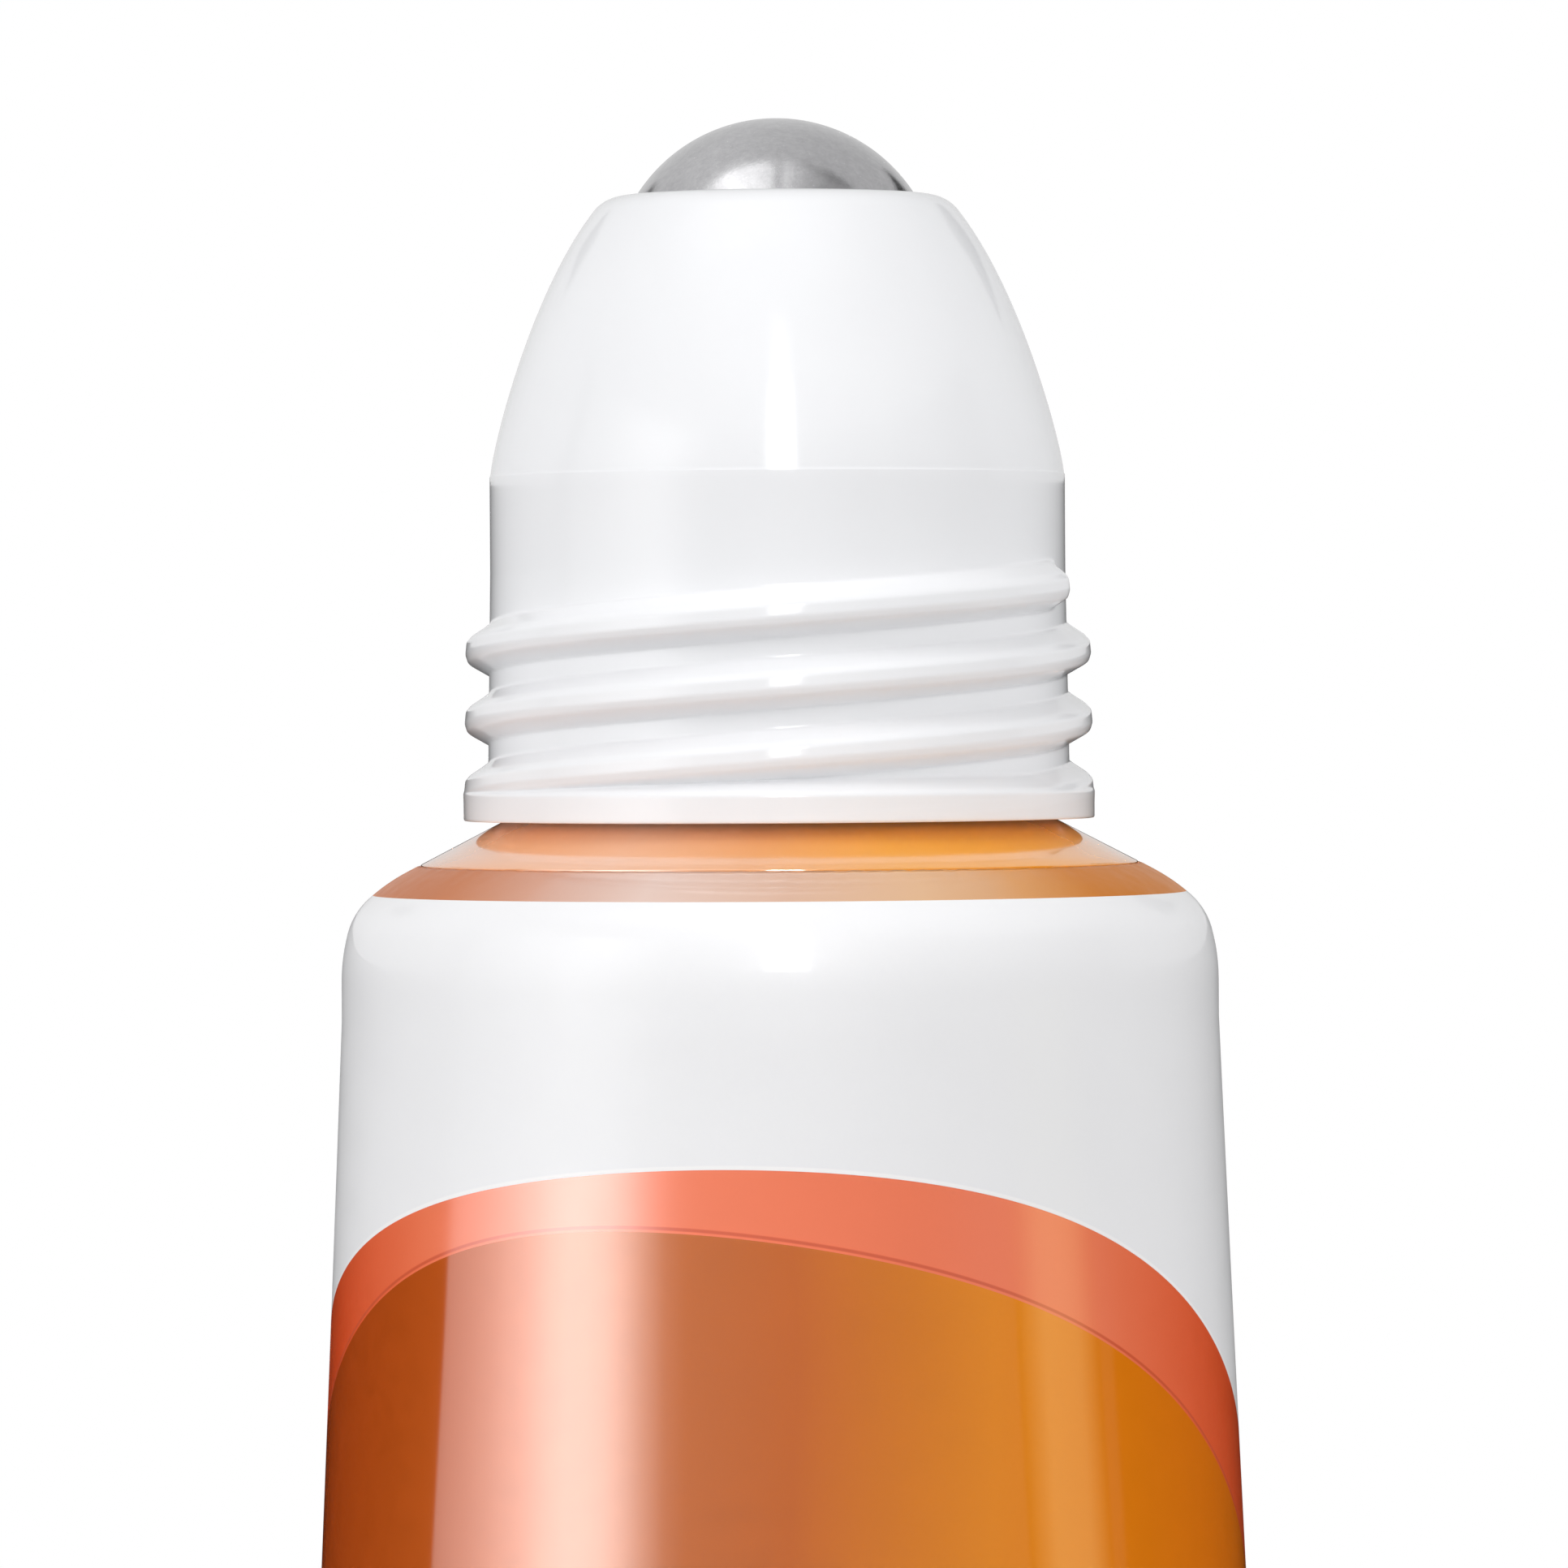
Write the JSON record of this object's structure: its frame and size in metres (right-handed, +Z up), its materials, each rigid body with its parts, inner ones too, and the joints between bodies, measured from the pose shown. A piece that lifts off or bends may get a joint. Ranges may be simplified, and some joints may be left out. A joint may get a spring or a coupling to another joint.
{
  "type": "roll-on squeeze tube",
  "caption": "Slim squeeze tube with a crimped tail, a round shoulder and a domed, threaded housing that holds a spring-backed steel roller ball.",
  "frame": {"origin": "middle of the tail's lower edge", "axes": "+Z up from the tail to the ball, X along the crimp, Y through the crimp's thickness, with the front at -Y"},
  "size_m": [0.0294, 0.019, 0.1123],
  "materials": {
    "sleeve_print": "printed laminate, white above a coral stripe and satin copper below",
    "head_plastic": "smooth moulded plastic, copper orange",
    "seal_rubber": "soft rubber washer",
    "housing_plastic": "white moulded plastic with a soft gloss",
    "cup_plastic": "natural moulded plastic",
    "spring_steel": "drawn stainless wire",
    "seat_plastic": "slippery moulded plastic",
    "ball_steel": "polished steel"
  },
  "bodies": {
    "shell": {"tube_sleeve": "sleeve_print", "tube_head": "head_plastic", "neck_seal": "seal_rubber", "roller_housing": "housing_plastic", "ball_cup": "cup_plastic", "ball_spring": "spring_steel"},
    "seat": {"ball_seat": "seat_plastic"},
    "ball": {"roller_ball": "ball_steel"}
  },
  "joints": [
    {"name": "ball_press", "type": "slide", "parent": "shell", "child": "seat", "axis": [0, 0, 1], "range_m": [-0.0005, 0], "stiffness_N_per_m": 500, "springref_m": 0.0015, "deforming": ["ball_spring"]},
    {"name": "ball_spin", "type": "hinge", "parent": "seat", "child": "ball", "pos_m": [0, 0, 0.1087], "axis": [1, 0, 0], "continuous": true}
  ]
}
